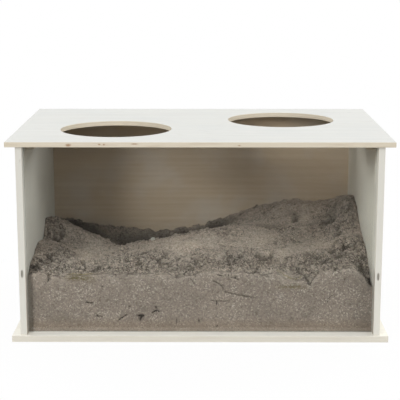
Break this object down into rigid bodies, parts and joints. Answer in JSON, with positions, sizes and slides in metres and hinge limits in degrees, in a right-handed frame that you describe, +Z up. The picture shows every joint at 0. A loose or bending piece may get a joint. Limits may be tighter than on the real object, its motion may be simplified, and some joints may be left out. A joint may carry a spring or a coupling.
{
  "type": "small animal digging box",
  "caption": "Shallow wooden digging box for a rabbit or other small animal: sand tray with a clear front pane and a lift-off lid with round entry holes.",
  "frame": {"origin": "middle of the base board's underside, which is the bottom centre of the box", "axes": "+X along the box's length, towards its right end as seen from the clear pane; -Y towards the clear pane; +Z up, out through the lid"},
  "size_m": [0.58, 0.38, 0.31],
  "materials": {
    "whitewashed_wood": "matte",
    "batten_wood": "matte",
    "clear_pane": "gloss",
    "screw_steel": "satin",
    "damp_sand": "matte"
  },
  "bodies": {
    "box": {"base_board": "whitewashed_wood", "side_panel_left": "whitewashed_wood", "side_panel_right": "whitewashed_wood", "back_panel": "whitewashed_wood", "base_screws_left": "screw_steel", "base_screws_right": "screw_steel", "base_screws_back": "screw_steel", "corner_screws_left": "screw_steel", "corner_screws_right": "screw_steel", "digging_sand": "damp_sand"},
    "lid": {"lid_board": "whitewashed_wood", "lid_batten_left": "batten_wood", "lid_batten_right": "batten_wood", "batten_screws_left": "screw_steel", "batten_screws_right": "screw_steel"},
    "pane": {"front_pane": "clear_pane"}
  },
  "joints": [
    {"name": "lid_lift", "type": "slide", "parent": "box", "child": "lid", "axis": [0, 0, 1], "range_m": [0, 0.3]},
    {"name": "pane_slide", "type": "slide", "parent": "box", "child": "pane", "axis": [0, 0, 1], "range_m": [0, 0.27]}
  ],
  "couplings": [
    {"joint": "pane_slide", "follows": "lid_lift", "ratio": 0.9}
  ]
}
